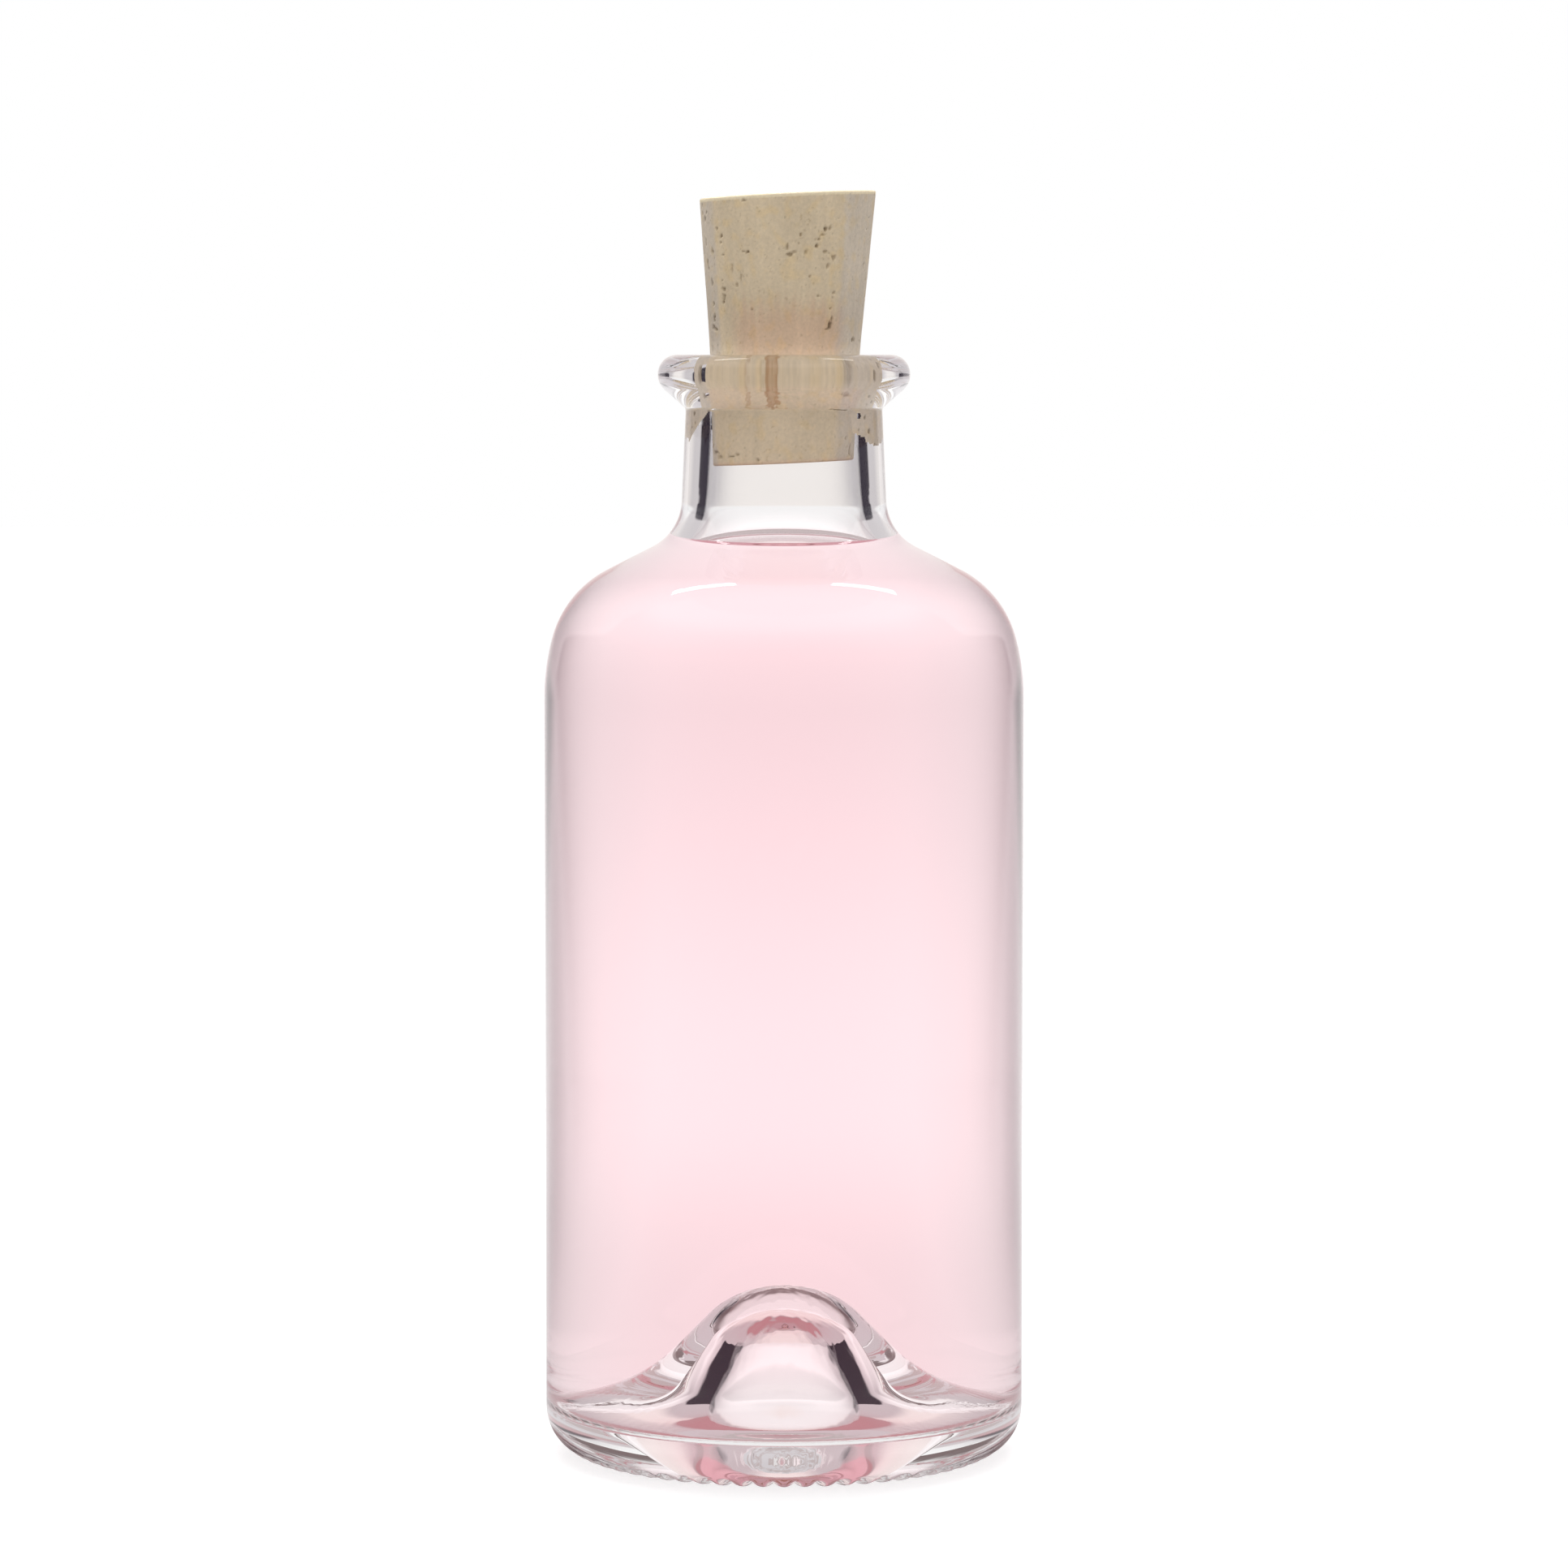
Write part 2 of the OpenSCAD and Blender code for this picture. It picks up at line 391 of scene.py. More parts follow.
# Where the cork presses on the glass, by the angle from the front, positive to the right: it does
# from a lower to an upper height, apart from a few pockets of air
PRESSED_LOW = {
    -180: 134.5, -120: 133.2, -88: 132.7, -62: 136.3, -50: 136.7, 50: 136.7, 54: 133.6, 66: 133.2,
    69: 132.3, 88: 132.0, 120: 133.5, 180: 134.5,
}
PRESSED_HIGH = {
    -180: 141.5, -90: 138.6, -70: 139.0, -66: 143.1, 76: 143.1, 80: 139.0, 90: 138.6, 180: 141.5,
}
BORE_R = 9.9
SEATED_Z = (131, 143.6)
# Angle, height and size
AIR_POCKETS = ((-58.3, 141.2, 0.3), (-54, 137.4, 0.62), (-51.5, 137.2, 0.5), (60, 135.9, 0.4))


def pressed(z, way):
    """Whether the cork presses on the bore there, with a slightly ragged edge."""
    at = (math.degrees(way) + 270) % 360 - 180
    rough = noise.noise(Vector((9.8 * math.cos(way), 9.8 * math.sin(way), z)) * 1.7)
    if not read_off(PRESSED_LOW, at) + 0.35 * rough < z < read_off(PRESSED_HIGH, at) + 0.3 * rough:
        return False
    return all(
        math.hypot(math.radians(at - p) * BORE_R, z - high) > size * (1 + 0.4 * rough)
        for p, high, size in AIR_POCKETS
    )


def glass_kind(a, b, way):
    """The number of a face's material: 0 is dry, 1 is wetted and 2 is pressed by the cork."""
    if a in WETTED and b in WETTED:
        return 1
    z = (a[1] + b[1]) / 2
    bored = a in BORED and b in BORED and SEATED_Z[0] < z < SEATED_Z[1]
    return 2 if bored and pressed(z, way) else 0


def clear(name, ior, shade):
    """A clear material. Where glass and liquid touch, its IOR is that of one over the other. Where
    light has been reflected inside many times, the surface glows in a painted light of the given
    shade, the shade that the light would end in."""
    mat, tree, shader = material(name)
    path = node(tree, "ShaderNodeLightPath")
    inside = joined(tree, "GREATER_THAN", path.outputs["Glossy Depth"], MOST_REFLECTIONS + 0.5)
    long = joined(tree, "GREATER_THAN", path.outputs["Ray Depth"], MOST_BOUNCES + 0.5)
    deep = joined(tree, "MAXIMUM", inside, long)
    shader.inputs["Emission Color"].default_value = shade
    tree.links.new(deep, shader.inputs["Emission Strength"])
    shader.inputs["Base Color"].default_value = (1, 1, 1, 1)
    shader.inputs["Roughness"].default_value = 0
    shader.inputs["IOR"].default_value = ior
    shader.inputs["Transmission Weight"].default_value = 1
    return mat


glass = revolved("moulded_glass", glass_line(), KNURLS * 8, moulding, glass_kind)
glass.data.materials.append(clear("clear_flint_glass", GLASS_IOR, PAINTED_GLOW_CLEAR))
glass.data.materials.append(clear("wetted_flint_glass", WETTED_IOR, PAINTED_GLOW_PINK))
glass.data.materials.append(clear("flint_glass_at_the_cork", 1, PAINTED_GLOW_CLEAR))
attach(glass, "bottle")
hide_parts("glass_bottle")

# Liquid

PINK = (0.998, 0.45, 0.54, 1)
PINK_DENSITY = 10
WETTING = 0.05
SKIN = 0.01
TURNS = 256
MENISCUS_STEPS = 32
# The first points of the wetted line, round the bore's root
ROOT_POINTS = 14


def surface_line(lift=0):
    """From the middle of the surface out over the meniscus to the glass."""
    line = [(0, LIQUID_Z + lift)]
    for i in range(MENISCUS_STEPS + 1):
        away = MENISCUS_REACH * (1 - i / MENISCUS_STEPS) ** 2
        climb = MENISCUS_H * math.exp(-away / MENISCUS_L)
        line.append((CONTACT[0] - away, LIQUID_Z + climb + lift))
    return line


def pink_material():
    """The body of the liquid. It bends no light of its own: the glass that it wets and its skin
    do."""
    # Its surfaces also glow in the painted pink light on deep paths
    mat = clear("pale_pink_liquid", 1, PAINTED_GLOW_PINK)
    tree = mat.node_tree
    absorption = node(tree, "ShaderNodeVolumeAbsorption")
    absorption.inputs["Color"].default_value = PINK
    absorption.inputs["Density"].default_value = PINK_DENSITY
    tree.links.new(absorption.outputs[0], tree.nodes["Material Output"].inputs["Volume"])
    return mat


def liquid_skin():
    """The free surface, a sheet just over the body of the liquid."""
    rings = surface_line(SKIN)[1:]
    verts = [(0, 0, rings[0][1] * MM)]
    for r, z in rings:
        for k in range(TURNS):
            way = 2 * math.pi * k / TURNS
            verts.append((r * math.cos(way) * MM, r * math.sin(way) * MM, z * MM))
    faces = []
    for k in range(TURNS):
        on = (k + 1) % TURNS
        faces.append((0, 1 + k, 1 + on))
        for ring in range(len(rings) - 1):
            a = 1 + ring * TURNS
            b = a + TURNS
            faces.append((a + k, b + k, b + on, a + on))
    mesh = bpy.data.meshes.new("liquid_skin")
    mesh.from_pydata(verts, [], faces)
    mesh.shade_smooth()
    return new_object("liquid_skin", mesh)


wall = moved_out(finely(WET[:ROOT_POINTS], ROOT_STEP) + WET[ROOT_POINTS:], WETTING)
wall[-1] = (0, wall[-1][1])
liquid = revolved("pink_liquid_fill", surface_line() + wall[1:], TURNS)
liquid.data.materials.append(pink_material())
skin = liquid_skin()
skin.data.materials.append(clear("liquid_surface", LIQUID_IOR, PAINTED_GLOW_PINK))
for piece in (liquid, skin):
    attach(piece, "bottle")
    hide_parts("liquid")

# Cork

# The cork's sizes in millimetres, the same as in the part's source: it tapers slightly up to a
# bend and more past it, leans about a pivot and is cut at a slant
CORK_Z = 129.8
CORK_L = 34.6
CORK_R = 9.15
CORK_TAPER = 0.55 / 14
CORK_BEND = (10.35, 17.65)
CORK_FLARE = 1.75 / 20.6 - CORK_TAPER
CORK_PIVOT = 7.0
CORK_SLANT = math.radians(2.7)
CORK_LEAN = math.radians(0.9)
AROUND = 480
ROWS = 236
CAP_ROWS = 40
RIM = 0.2

# Tones, and tints that a tone is multiplied by
CORK_TONE = (0.675, 0.55, 0.385)
# Painted grey-violet shade for the cork's left and right sides
PAINTED_SIDE_SHADE = (0.93, 0.975, 1.12)
BLUSH = (1.0, 0.89, 0.88)
WARM = (1.02, 0.98, 0.88)
SPECK_TONE = (0.42, 0.29, 0.15)
CREAM = (0.93, 0.79, 0.56)
TOP_CREAM = 0.35
PIT_TONE = (0.17, 0.115, 0.062)
STAIN_TONE = (0.42, 0.23, 0.10)

# Pits of the photographed side: distance from the cork's middle, height, half width, half height
# and how dark they are
PITS = (
    (-8.75, 159.9, 0.16, 0.2, 0.5), (-8.15, 159.0, 0.18, 0.24, 0.9),
    (-8.15, 158.2, 0.14, 0.18, 0.5),
    (-9.3, 157.1, 0.14, 0.2, 0.6), (-7.9, 156.6, 0.2, 0.14, 0.4), (-6.75, 154.8, 0.14, 0.7, 0.3),
    (-4.7, 156.9, 0.26, 0.2, 0.8), (-5.2, 157.0, 0.2, 0.12, 0.5), (-5.2, 163.5, 0.28, 0.14, 0.6),
    (0.45, 157.6, 0.2, 0.5, 0.6), (0.7, 156.6, 0.42, 0.26, 0.7), (1.3, 156.9, 0.3, 0.16, 0.5),
    (2.15, 159.1, 0.16, 0.2, 0.5), (1.85, 158.0, 0.12, 0.14, 0.4), (4.2, 157.7, 0.2, 0.26, 0.9),
    (4.5, 158.5, 0.18, 0.2, 0.6), (5.05, 159.1, 0.3, 0.16, 0.6), (5.35, 159.9, 0.2, 0.42, 0.95),
    (5.95, 160.1, 0.16, 0.34, 0.6), (5.4, 156.9, 0.4, 0.22, 0.5), (2.8, 156.9, 0.24, 0.3, 0.4),
    (6.4, 156.2, 0.24, 0.42, 0.55), (5.7, 155.2, 0.26, 0.3, 0.5), (3.35, 153.8, 0.14, 0.16, 0.5),
    (-5.6, 153.6, 0.12, 0.6, 0.4), (-6.15, 152.7, 0.16, 0.3, 0.35), (-8.0, 153.3, 0.12, 0.14, 0.5),
    (-7.85, 152.2, 0.24, 0.24, 0.6), (-7.8, 151.2, 0.22, 0.5, 0.55),
    (-7.85, 150.6, 0.18, 0.22, 0.95), (4.45, 151.3, 0.3, 0.22, 0.55),
    (6.4, 151.7, 0.2, 0.16, 0.4), (6.05, 149.7, 0.14, 0.16, 0.7),
    (6.2, 148.4, 0.14, 0.4, 0.7), (5.95, 147.7, 0.3, 0.42, 1.0), (5.55, 147.1, 0.34, 0.16, 0.7),
    (-9.1, 147.3, 0.2, 0.4, 0.6), (-8.75, 147.0, 0.14, 0.2, 0.8), (-4.15, 149.6, 0.12, 0.14, 0.5),
    (6.9, 140.9, 0.4, 0.45, 0.5), (6.2, 137.3, 0.5, 0.3, 0.8), (5.5, 137.6, 0.3, 0.24, 0.6),
    (6.9, 137.1, 0.34, 0.24, 0.8), (-8.6, 132.0, 0.2, 0.4, 0.5), (-8.2, 131.2, 0.5, 0.22, 0.7),
    (-7.6, 130.6, 0.3, 0.2, 0.6), (-6.2, 130.7, 0.3, 0.12, 0.7), (-5.5, 130.9, 0.2, 0.14, 0.5),
    (-3.0, 130.3, 0.3, 0.1, 0.5), (7.8, 131.6, 0.12, 0.7, 0.7), (7.3, 133.0, 0.14, 0.3, 0.4),
)
# Stained lenticels: angle from the front, height, half width, half height, strength
LENTICELS = (
    (-8.2, 140.6, 0.72, 2.6, 1.1), (-25.5, 140.0, 0.3, 1.9, 0.6), (-14, 138.0, 2.2, 0.4, 0.3),
)
# How many pits and stains are drawn at random, most of them on the sides that the photo hides
HIDDEN_PITS = 230
FINE_PITS = 60
HIDDEN_STAINS = 16
# Heights between which the side gets paler, and the blush over the lip comes and goes
PALER_Z = (147, 156)
BLUSH_LOW_Z = (141.8, 144.4)
BLUSH_HIGH_Z = (152, 147.6)
# The way of the growth rings across a cut end
RINGS_X, RINGS_Y = 0.94, 0.34


def cork_radius(h):
    """Radius at a height over the cork's lower end, before it leans."""
    bent = min(max(h - CORK_BEND[0], 0), CORK_BEND[1] - CORK_BEND[0])
    past = max(h - CORK_BEND[1], 0)
    soft = bent * bent / (2 * (CORK_BEND[1] - CORK_BEND[0])) * CORK_FLARE
    return CORK_R + CORK_TAPER * h + soft + CORK_FLARE * past


def tilted(x, z, by):
    """A point turned about the Y axis."""
    return x * math.cos(by) + z * math.sin(by), z * math.cos(by) - x * math.sin(by)


def cork_point(angle, share, inward=0):
    """A point of the cork's side, by its angle and its share of the way between the cut ends."""
    want = share * CORK_L
    h = want
    for _ in range(4):
        r = cork_radius(h) - inward
        x, z = tilted(r * math.cos(angle), h - CORK_PIVOT, CORK_LEAN)
        z += CORK_PIVOT
        h += want - tilted(x, z, CORK_SLANT)[1]
    return x, r * math.sin(angle), z + CORK_Z


def cork_grain(at):
    """Streaks, mottle and fine grain at a place on the cork."""
    x, y, z = at
    streak = noise.noise(Vector((x * 1.3, y * 1.3, z * 0.1)))
    broad = noise.noise(Vector((x * 0.22, y * 0.22, z * 0.13 + 40)))
    fine = noise.noise(Vector((x * 3.1, y * 3.1, z * 2.2)))
    return streak, broad, fine


def all_pits():
    """Every pit and lenticel as angle from the front, height, half sizes, depth, tone, strength."""
    pits = []
    for x, z, wide, high, dark in PITS:
        r = cork_radius(z - CORK_Z)
        lean = (z - CORK_Z - CORK_PIVOT) * math.sin(CORK_LEAN)
        angle = math.asin(max(-1, min(1, (x - lean) / r)))
        wide = wide / max(0.35, math.cos(angle))
        pits.append((angle, z, wide, high, 0.1 + 0.25 * dark, PIT_TONE, dark))
    for degrees, z, wide, high, dark in LENTICELS:
        pits.append((math.radians(degrees), z, wide, high, 0.05, STAIN_TONE, dark))
    draw = random.Random(5)
    for _ in range(HIDDEN_PITS):
        angle = math.radians(draw.uniform(62, 298))
        size = draw.uniform(0.1, 0.3)
        tall = size * draw.uniform(0.7, 2.2)
        dark = draw.uniform(0.3, 1)
        pits.append((angle, draw.uniform(129, 165), size, tall, 0.1 + 0.2 * dark, PIT_TONE, dark))
    for _ in range(FINE_PITS):
        angle = math.radians(draw.uniform(-60, 60))
        size = draw.uniform(0.07, 0.13)
        pits.append((angle, draw.uniform(130, 164), size, size * 1.3, 0.06, PIT_TONE, 0.3))
    for _ in range(HIDDEN_STAINS):
        angle = math.radians(draw.uniform(75, 285))
        z = draw.uniform(132, 162)
        wide, high = draw.uniform(0.3, 0.8), draw.uniform(1, 3)
        pits.append((angle, z, wide, high, 0.12, STAIN_TONE, draw.uniform(0.4, 0.9)))
    return pits


def pitted(angles, heights, places, radii):
    """How deep the side is pitted at each point, and the tone and strength of the pits there."""
    rough = np.array([noise.noise(Vector(p) * 2.6) for p in places])
    deep = np.zeros(len(places))
    strength = np.zeros(len(places))
    tone = np.tile(np.array(PIT_TONE), (len(places), 1))
    for angle, z, wide, high, depth, colour, dark in all_pits():
        off = (angles - angle + math.pi) % (2 * math.pi) - math.pi
        far = np.hypot(off * radii / wide, (heights - z) / high) + 0.75 * rough
        near = np.clip((1.15 - far) / 0.55, 0, 1)
        if colour is STAIN_TONE:
            # A lenticel is darker at its border
            edge = np.clip(1 - np.abs(far - 0.85) / 0.35, 0, 1)
            near = np.clip(0.6 * near + 0.6 * edge, 0, 1)
        deep = np.maximum(deep, near * depth)
        strong = near * dark > strength
        tone[strong] = colour
        strength = np.maximum(strength, near * dark)
    return deep, tone, strength


def side_tone(place, front, share, pit, strength):
    """Colour of the side at a place, by its angle in degrees from the front, its share of the way
    up, and the pit there."""
    streak, broad, fine = cork_grain(place)
    z = place[2]
    level = 1 + 0.06 * streak + 0.07 * broad + 0.045 * fine
    level *= 1 + 0.13 * smooth(z, *PALER_Z)
    colour = scaled(CORK_TONE, level)
    warm = noise.noise(Vector((place[0] * 0.9, place[1] * 0.9, z * 0.7 + 90)))
    colour = blended(colour, tinted(colour, WARM), smooth(warm, 0, 0.6))
    speck = noise.noise(Vector(place) * 3.3) + 0.35 * noise.noise(Vector(place) * 0.6)
    colour = blended(colour, SPECK_TONE, 0.4 * smooth(speck, 0.5, 0.75))
    # A painted grey-violet shade on the left and right sides
    side = smooth(abs(abs(front + 8 + 2 * streak) - 90), 43, 37)
    colour = blended(colour, tinted(colour, PAINTED_SIDE_SHADE), side)
    # The blush is a band over the lip, and the lower cut edge
    blush = smooth(z + broad, *BLUSH_LOW_Z) * smooth(z + 2 * streak, *BLUSH_HIGH_Z)
    blush *= smooth(abs(front - 3), 52, 34) if abs(front) < 90 else 0.5 + broad
    blush = max(blush, 0.8 * smooth(share * CORK_L, 0.7, 0.1))
    colour = blended(colour, tinted(colour, BLUSH), max(0, min(1, blush)))
    colour = blended(colour, CREAM, smooth(CORK_L * (1 - share), 0.55 + 0.15 * fine, 0.4))
    return blended(colour, tuple(pit), strength * 0.85)


def cork_side():
    """Points and tones of the side, row by row from the lower cut end."""
    grid = [(2 * math.pi * k / AROUND, i / ROWS) for i in range(ROWS + 1) for k in range(AROUND)]
    places = [cork_point(*at) for at in grid]
    angles = np.array([a + math.pi / 2 for a, _ in grid])
    heights = np.array([p[2] for p in places])
    radii = np.array([cork_radius(p[2] - CORK_Z) for p in places])
    deep, pits, strength = pitted(angles, heights, places, radii)
    verts, tones = [], []
    for i, ((angle, share), place) in enumerate(zip(grid, places)):
        _, broad, fine = cork_grain(place)
        end = min(share, 1 - share) * CORK_L
        worn = RIM * (1 - math.sqrt(max(0, 1 - max(0, 1 - end / RIM) ** 2)))
        crumb = 0.05 * max(0, fine) * smooth(end, 0.6, 0)
        inward = deep[i] + worn + crumb + 0.012 * (1 - fine) + 0.02 * (1 - broad)
        verts.append(cork_point(angle, share, inward))
        front = math.degrees((angle + math.pi / 2 + math.pi) % (2 * math.pi) - math.pi)
        tones += (*side_tone(place, front, share, pits[i], strength[i]), 1)
    return verts, tones


def end_grain(at, share, seed, cream):
    """Depth and colour of a cut end at a place, with growth rings and small holes. The share is 0
    in the middle and 1 at the edge."""
    across = at[0] * RINGS_X + at[1] * RINGS_Y
    bow = 0.02 * (at[1] * RINGS_X - at[0] * RINGS_Y) ** 2
    wave = noise.noise(Vector((at[0] * 0.3, at[1] * 0.3, seed)))
    ring_line = abs(math.sin((across + bow + wave) * 1.9)) ** 14
    _, broad, fine = cork_grain(at)
    hole = noise.noise(Vector((across * 0.9, at[1] * 2.4, 7.5 + seed)))
    hole = smooth(hole, 0.42, 0.62) * smooth(share, 1, 0.94)
    level = 1 + 0.05 * broad + 0.06 * fine - 0.12 * ring_line
    colour = scaled(blended(CORK_TONE, CREAM, cream), level)
    depth = 0.01 + 0.012 * (1 - fine) + 0.02 * ring_line + 0.25 * hole
    return depth, blended(colour, PIT_TONE, hole * 0.8)


def add_cut_end(verts, tones, faces, rim, turn, cream):
    """Closes the ring of points that starts at rim, with rows of points towards its middle. The
    turn is 1 for the upper cut end and -1 for the lower."""
    ring = verts[rim:rim + AROUND]
    middle = [sum(p[c] for p in ring) / AROUND for c in range(3)]
    before = list(range(rim, rim + AROUND))
    for row in range(1, CAP_ROWS):
        share = 1 - row / CAP_ROWS
        start = len(verts)
        for p in ring:
            at = [m + (c - m) * share for m, c in zip(middle, p)]
            depth, colour = end_grain(at, share, rim, cream)
            verts.append((at[0], at[1], at[2] - depth * turn))
            tones += (*colour, 1)
        for k in range(AROUND):
            on = (k + 1) % AROUND
            face = (before[k], before[on], start + on, start + k)
            faces.append(face[::turn])
        before = list(range(start, start + AROUND))
    verts.append((middle[0], middle[1], middle[2] - 0.02 * turn))
    tones += (*CORK_TONE, 1)
    for k in range(AROUND):
        face = (before[k], before[(k + 1) % AROUND], len(verts) - 1)
        faces.append(face[::turn])


def cork_mesh():
    verts, tones = cork_side()
    faces = []
    for i in range(ROWS):
        for k in range(AROUND):
            a, b = i * AROUND + k, i * AROUND + (k + 1) % AROUND
            faces.append((a, b, b + AROUND, a + AROUND))
    add_cut_end(verts, tones, faces, ROWS * AROUND, 1, TOP_CREAM)
    add_cut_end(verts, tones, faces, 0, -1, 0)
    mesh = bpy.data.meshes.new("tapered_cork")
    mesh.from_pydata([tuple(c * MM for c in v) for v in verts], [], faces)
    mesh.attributes.new("tone", "FLOAT_COLOR", "POINT").data.foreach_set("color", tones)
    mesh.shade_smooth()
    return mesh


GRAIN_SCALE = 2600
GRAIN_LOW, GRAIN_HIGH = 0.86, 1.14
GRAIN_BUMP = 0.00006


def cork_material():
    """Matt cork in the tones of its points, with a fine grain in tone and relief."""
    mat, tree, shader = material("natural_cork")
    shader.inputs["Roughness"].default_value = 0.85
    shader.inputs["Specular IOR Level"].default_value = 0.3
    coords = node(tree, "ShaderNodeTexCoord")
    grain = node(tree, "ShaderNodeTexNoise")
    grain.inputs["Scale"].default_value = GRAIN_SCALE
    grain.inputs["Detail"].default_value = 3
    tree.links.new(coords.outputs["Object"], grain.inputs["Vector"])
    level = node(tree, "ShaderNodeMapRange")
    level.inputs["To Min"].default_value = GRAIN_LOW
    level.inputs["To Max"].default_value = GRAIN_HIGH
    tree.links.new(grain.outputs[0], level.inputs["Value"])
    tone = node(tree, "ShaderNodeAttribute", attribute_name="tone")
    grained = node(tree, "ShaderNodeVectorMath", operation="SCALE")
    tree.links.new(tone.outputs["Color"], grained.inputs[0])
    tree.links.new(level.outputs[0], grained.inputs["Scale"])
    tree.links.new(grained.outputs[0], shader.inputs["Base Color"])
    bump = node(tree, "ShaderNodeBump")
    bump.inputs["Strength"].default_value = 0.3
    bump.inputs["Distance"].default_value = GRAIN_BUMP
    tree.links.new(grain.outputs[0], bump.inputs["Height"])
    tree.links.new(bump.outputs[0], shader.inputs["Normal"])
    return mat


cork = new_object("tapered_cork", cork_mesh())
cork.data.materials.append(cork_material())
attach(cork, "stopper")
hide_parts("cork_stopper")

# Camera

CAMERA_AT = (0, -0.760, 0.1445)
LOOKS_DOWN = 4.26
camera = bpy.data.objects.new("camera", bpy.data.cameras.new("camera"))
bpy.context.scene.collection.objects.link(camera)
camera.location = CAMERA_AT
camera.rotation_euler = (math.radians(90 - LOOKS_DOWN), 0, 0)
camera.data.sensor_width = 36
camera.data.lens = 134.0
camera.data.clip_start = 0.01
bpy.context.scene.camera = camera
bpy.context.scene.view_settings.view_transform = "Standard"

# World

SOFT_LIGHT = 0.7
DIMMING_Z = (0.25, 0.9)
OVERHEAD_LIGHT = 0.55


def studio():
    """White for what the camera, glass and gloss see, dimmer straight overhead, and plain soft
    light for the rest."""
    world = bpy.data.worlds.new("studio")
    world.use_nodes = True
    tree = world.node_tree
    tree.nodes.clear()
    output = node(tree, "ShaderNodeOutputWorld")
    path = node(tree, "ShaderNodeLightPath")
    seen = joined(tree, "MAXIMUM", path.outputs["Is Camera Ray"], path.outputs["Is Glossy Ray"])
    seen = joined(tree, "MAXIMUM", seen, path.outputs["Is Transmission Ray"])
    soft = node(tree, "ShaderNodeBackground")
    soft.inputs["Color"].default_value = (1, 1, 1, 1)
    soft.inputs["Strength"].default_value = SOFT_LIGHT
    white = node(tree, "ShaderNodeBackground")
    white.inputs["Color"].default_value = (1, 1, 1, 1)
    coords = node(tree, "ShaderNodeTexCoord")
    split = node(tree, "ShaderNodeSeparateXYZ")
    tree.links.new(coords.outputs["Generated"], split.inputs[0])
    dimmed = ranged(tree, split.outputs["Z"], *DIMMING_Z, 1, OVERHEAD_LIGHT)
    tree.links.new(dimmed, white.inputs["Strength"])
    surface = either(tree, seen, soft.outputs[0], white.outputs[0])
    tree.links.new(surface, output.inputs["Surface"])
    return world


bpy.context.scene.world = studio()

# Lamps


def lamp(name, at, aim, size, power):
    data = bpy.data.lights.new(name, "AREA")
    data.shape = "RECTANGLE"
    data.size, data.size_y = size
    data.energy = power
    made = bpy.data.objects.new(name, data)
    bpy.context.scene.collection.objects.link(made)
    made.location = at
    made.rotation_euler = (Vector(aim) - Vector(at)).to_track_quat("-Z", "Y").to_euler()
    return made


def hidden_from_glass(made):
    made.visible_glossy = False
    made.visible_transmission = False


MIDDLE = (0, 0, 0.1)
for side in (-1, 1):
    hidden_from_glass(lamp("overhead_softbox", (side * 0.22, 0.18, 0.71), MIDDLE, (0.3, 0.3), 1.6))
    # The bars draw the arcs on the shoulder
    x, y = side * 0.29, 0.22
    bar = lamp("overhead_bar", (x, y, 0.71), (x, y, 0), (0.35, 0.06), 0.35)
    bar.visible_transmission = False
hidden_from_glass(lamp("front_fill", (0, -1.3, 0.7), MIDDLE, (0.8, 0.6), 3))

# Cove: a bottom and a wall round the bottle, seen only by glass and gloss. It is white behind,
# pale towards the sides and dark at them, and so draws the dark edges and streaks of the glass.

COVE_IN = 0.038
COVE_NEAR = 0.06
COVE_R = 0.4
COVE_BOTTOM = 0.001
COVE_TOP = 0.9
BOTTOM_STEPS = 30
WALL_STEPS = 90
COVE_TURNS = 360
UNDER = (1, 1, 1)
WARM_WHITE = (1.04, 0.99, 0.96)
PALE = (0.74, 0.70, 0.72)
PALE_HIGH = (0.63, 0.595, 0.61)
DARK = (0.018, 0.012, 0.025)
FRONT_BELOW = (0.6, 0.58, 0.58)
FRONT = (0.2, 0.19, 0.18)
ABOVE = (0.85, 0.82, 0.83)
PLAIN = (1.35, 1.33, 1.35, 1)

# Heights between which the wall's light turns from what the body sees to what the neck sees
NECK_SEES = (0.09, 0.125)
# How the light low down falls off with the angle from the back
SIDE_FALL = {0: 1, 13: 0.99, 17: 0.96, 25: 0.92, 34: 0.91, 40: 0.87, 48: 0.78, 65: 0.6, 180: 0.6}


